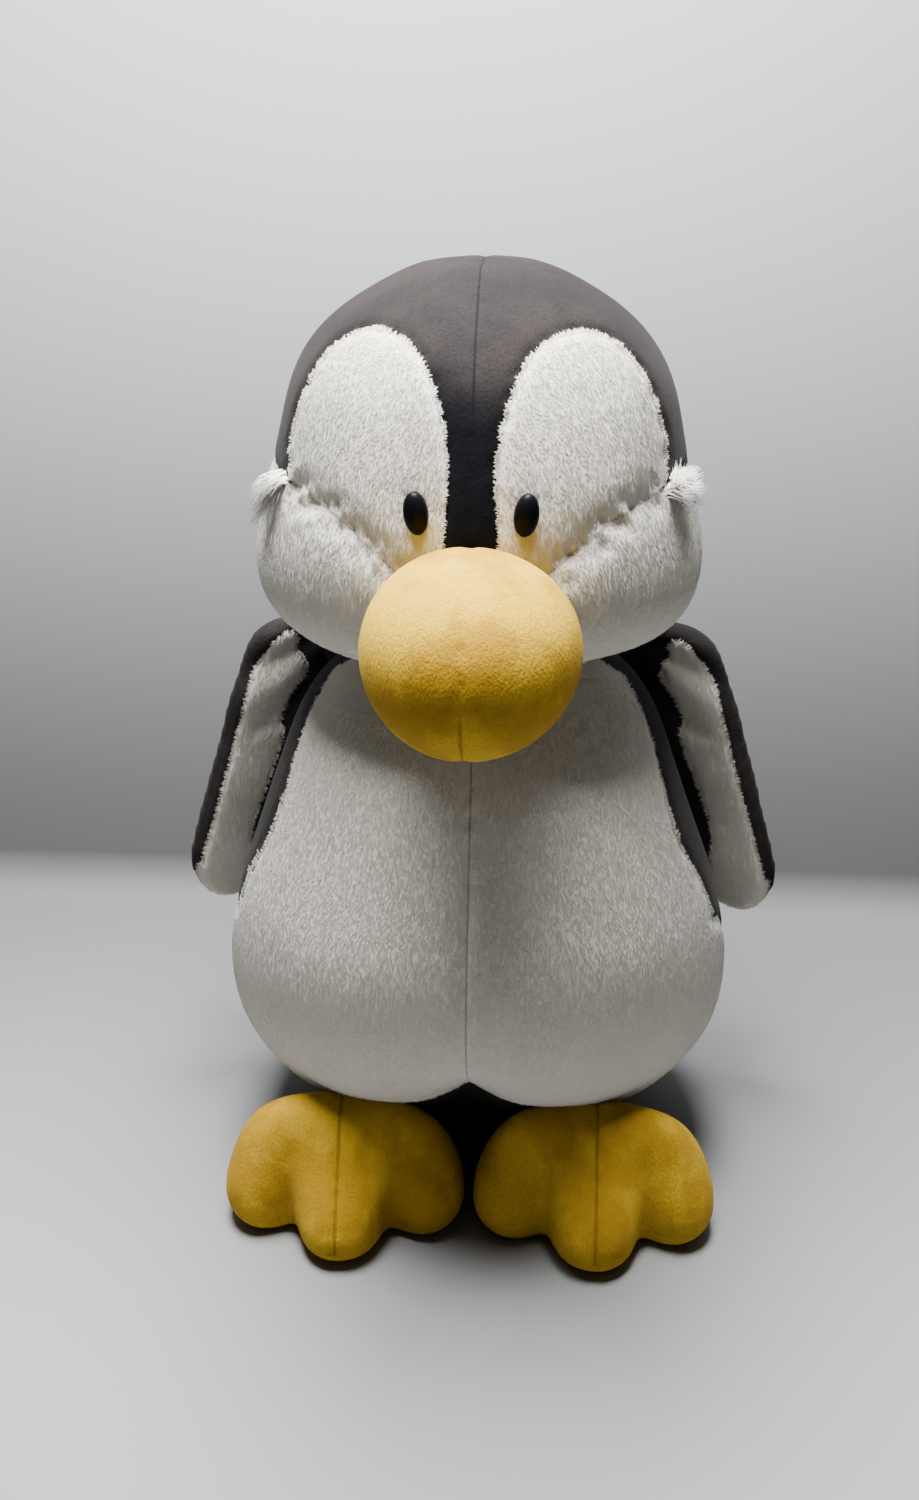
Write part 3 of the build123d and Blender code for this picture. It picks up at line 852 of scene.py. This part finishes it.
def build_eye(side, sign):
    """A glossy oval safety eye, domed, turned a little outwards and leaning."""
    node = f"{side}_eye"
    low, high = place(node)
    half_width, half_height = (high[0] - low[0]) / 2 + 0.7 * MM, (high[2] - low[2]) / 2 + 1.2 * MM
    rings, spokes = 14, 48
    profile = [(math.sin(a) ** 0.9, -4.4 * MM * math.cos(a)) for a in np.linspace(0, math.pi / 2, rings)]
    profile.append((0.96, 2.2 * MM))
    verts = [
        (reach * math.cos(angle) * half_width, depth, reach * math.sin(angle) * half_height)
        for reach, depth in profile
        for angle in np.linspace(0, 2 * math.pi, spokes, endpoint=False)
    ]
    faces = []
    for ring in range(rings):
        for spoke in range(spokes):
            here = ring * spokes + spoke
            beside = ring * spokes + (spoke + 1) % spokes
            faces.append((here, beside, beside + spokes, here + spokes))
    turn = Matrix.Rotation(math.radians(8.5 * sign), 3, "Z") @ Matrix.Rotation(math.radians(7 * sign), 3, "Y")
    centre = Vector(((low[0] + high[0]) / 2, low[1] + 4.0 * MM, (low[2] + high[2]) / 2))
    verts = [tuple(turn @ Vector(v) + centre) for v in verts]
    piece = new_object(f"{node}_dome", verts, faces, MATERIALS["eye_plastic"])
    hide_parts(node)
    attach(piece, "head")


def build_tuft(side, sign, rise, droop):
    """Locks of long curly pile caught in the seam at the end of the cheek fold."""
    node = f"{side}_cheek_tuft"
    rng = np.random.default_rng(61 + sign)
    locks, per_lock, parts = 22, 42, 6
    root = middle_of(node) - np.array([sign * 11 * MM, 0, 0])
    heading = np.array([sign * math.cos(rise), -0.30, math.sin(rise)])
    lock_heading = unit(heading + rng.normal(0, 1, (locks, 3)) * (0.20, 0.45, 0.42))
    lock_root = root + rng.normal(0, 1, (locks, 3)) * (1.5 * MM, 3.0 * MM, 2.2 * MM)
    lock_length = rng.uniform(12, 17, locks) * MM
    lock_phase = rng.uniform(0, 2 * math.pi, locks)
    index = np.repeat(np.arange(locks), per_lock)
    count = len(index)
    along = unit(lock_heading[index] + rng.normal(0, 0.10, (count, 3)))
    side_way = unit(np.cross(along, rng.normal(0, 1, (count, 3))))
    curl_one = unit(np.cross(lock_heading[index], (0.3, 0.9, 0.2)))
    curl_two = np.cross(lock_heading[index], curl_one)
    start = lock_root[index] + rng.normal(0, 0.9 * MM, (count, 3))
    length = (lock_length[index] * rng.uniform(0.75, 1.05, count))[:, None]
    rows = []
    for part in range(parts + 1):
        t = part / parts
        turn = (lock_phase[index] + 4.5 * t)[:, None]
        centre = start + along * length * t - np.array([0, 0, 1.0]) * length * droop * t * t
        centre = centre + (curl_one * np.cos(turn) + curl_two * np.sin(turn)) * 1.8 * MM * t
        half = side_way * 0.30 * MM * (1 - 0.8 * t)
        rows += [centre - half, centre + half]
    verts = np.stack(rows, axis=1).reshape(-1, 3)
    pattern = []
    for first in range(0, 2 * parts, 2):
        pattern += [[first, first + 1, first + 3], [first, first + 3, first + 2]]
    facing = unit(verts - root + np.array([0, -4 * MM, 5 * MM]))
    kinds = rng.choice(3, count, p=(0.5, 0.35, 0.15))
    piece = strands(f"{node}_hair", verts, 2 * parts + 2, pattern, facing, TUFT_TINTS, kinds)
    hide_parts(node)
    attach(piece, "head")


def build_label():
    """A blank woven tape caught in the back seam, curling a little to one side."""
    node = "care_label"
    low, high = place(node)
    points = 9
    out, up = np.meshgrid(np.linspace(0, 1, points), np.linspace(0, 1, points))
    out, up = out.ravel(), up.ravel()
    verts = np.stack([
        (low[0] + high[0]) / 2 + 1.6 * MM * np.sin(2.6 * out) * (0.6 + 0.4 * up),
        low[1] + (high[1] - low[1]) * out,
        low[2] + (high[2] - low[2]) * up - 1.2 * MM * out ** 2,
    ], axis=1)
    first = [points * row + column for row in range(points - 1) for column in range(points - 1)]
    faces = [(k, k + 1, k + points + 1, k + points) for k in first]
    piece = new_object(f"{node}_tape", verts, faces, MATERIALS[SLOTS[node]])
    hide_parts(node)
    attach(piece, "torso")


def dress_cad_nodes():
    """The hidden pieces keep their CAD shape and get their own finish."""
    for node, piece in NODES.items():
        piece.data.materials.clear()
        piece.data.materials.append(MATERIALS[SLOTS[node]])


# ---------------------------------------------------------------- stage, light and camera

def build_stage():
    """A pale floor, and a backdrop close behind the toy that shows only from its front; painted shade darkens
    both towards their join, painted light brightens the backdrop's top, and the far floor has a painted glow.
    """
    wall, radius, half, height, reach = 0.268, 0.03, 1.5, 1.4, 4.0
    n = Nodes("floor_paper")
    depth = n.add("ShaderNodeSeparateXYZ", Vector=n.place).outputs["Y"]
    # Painted shade: the floor darkens from the front towards the backdrop.
    floor = n.finish(n.mix(n.steps(depth, -0.25, 0.26), (0.275, 0.278, 0.281), PAPER_JOIN_SHADE), 0.9)
    corners = [(-reach, -reach, 0.0), (reach, -reach, 0.0), (reach, reach, 0.0), (-reach, reach, 0.0)]
    away = n.add("ShaderNodeVectorMath", Vector=n.place)
    away.operation = "LENGTH"
    seen = n.add("ShaderNodeLightPath").outputs["Is Camera Ray"]
    # Painted light: far from the toy the floor glows with the room's tone, seen only by the camera.
    painted_far_glow = n.math("MULTIPLY", n.steps(away.outputs["Value"], 0.75, 2.4), seen)
    n.cover(painted_far_glow, n.add("ShaderNodeEmission", Color=ROOM_COLOUR, Strength=ROOM_TONE))
    new_object("floor", corners, [(0, 1, 2, 3)], floor)

    profile = []
    for angle in np.linspace(0, math.pi / 2, 17):
        back = wall - radius + radius * math.sin(angle)
        rise = radius - radius * math.cos(angle) + 0.2 * MM
        profile.append((back, rise))
    profile.append((wall, height))
    verts = [(x, y, z) for y, z in profile for x in (-half, half)]
    faces = [(2 * k, 2 * k + 1, 2 * k + 3, 2 * k + 2) for k in range(len(profile) - 1)]
    n = Nodes("backdrop_paper")
    up = n.add("ShaderNodeSeparateXYZ", Vector=n.place).outputs["Z"]
    # Painted shade low on the backdrop and painted light towards its top, with the painted shade of the join
    # at its foot.
    tone = n.mix(n.steps(up, 0.02, 0.55), (0.12, 0.12, 0.117), (0.33, 0.34, 0.355))
    paper = n.finish(n.mix(n.steps(up, 0.0, 0.02), PAPER_JOIN_SHADE, tone), 0.9)
    behind = n.add("ShaderNodeNewGeometry").outputs["Backfacing"]
    shadow = n.add("ShaderNodeLightPath").outputs["Is Shadow Ray"]
    n.cover(n.math("MAXIMUM", behind, shadow), n.add("ShaderNodeBsdfTransparent"))
    new_object("backdrop", verts, faces, paper)


def build_light():
    """One big softbox overhead; the paper and the room fill in the rest."""
    over, aim = Vector((-0.06, -0.04, 1.10)), Vector((-0.04, -0.04, 0.0))
    light = bpy.data.lights.new("softbox", "AREA")
    light.shape = "DISK"
    light.size = 0.56
    light.energy = 62
    lamp = bpy.data.objects.new("softbox", light)
    lamp.location = over
    lamp.rotation_euler = (aim - over).to_track_quat("-Z", "Y").to_euler()
    bpy.context.scene.collection.objects.link(lamp)
    world = bpy.data.worlds.new("studio")
    world.use_nodes = True
    nodes, links = world.node_tree.nodes, world.node_tree.links
    fill = nodes["Background"]
    fill.inputs["Color"].default_value = (1.0, 0.93, 0.82, 1)
    fill.inputs["Strength"].default_value = 0.05
    seen = nodes.new("ShaderNodeBackground")
    seen.inputs["Color"].default_value = ROOM_COLOUR
    seen.inputs["Strength"].default_value = ROOM_TONE
    mixed = nodes.new("ShaderNodeMixShader")
    links.new(nodes.new("ShaderNodeLightPath").outputs["Is Camera Ray"], mixed.inputs[0])
    links.new(fill.outputs[0], mixed.inputs[1])
    links.new(seen.outputs[0], mixed.inputs[2])
    links.new(mixed.outputs[0], nodes["World Output"].inputs["Surface"])
    bpy.context.scene.world = world


def build_camera():
    """Held above the toy, looking down at it and turned a little to its left side."""
    pitch, turn, roll = math.radians(25), math.radians(3), math.radians(0.2)
    data = bpy.data.cameras.new("camera")
    data.sensor_fit = "VERTICAL"
    data.sensor_height = 24
    data.lens = 24
    camera = bpy.data.objects.new("camera", data)
    camera.location = Matrix.Rotation(turn, 3, "Z") @ Vector((-0.010, -0.724, 0.586))
    aim = Matrix.Rotation(turn, 3, "Z") @ Matrix.Rotation(math.pi / 2 - pitch, 3, "X")
    camera.rotation_euler = (aim @ Matrix.Rotation(roll, 3, "Z")).to_euler()
    bpy.context.scene.collection.objects.link(camera)
    bpy.context.scene.camera = camera


dress_cad_nodes()
build_torso()
build_head()
build_beak()
for side, sign in SIDES:
    build_wing(side, sign)
    build_gusset(side, sign)
    build_foot(side)
    build_eye(side, sign)
build_tuft("left", 1, math.radians(24), 0.10)
build_tuft("right", -1, math.radians(0), 0.65)
build_label()
build_stage()
build_light()
build_camera()
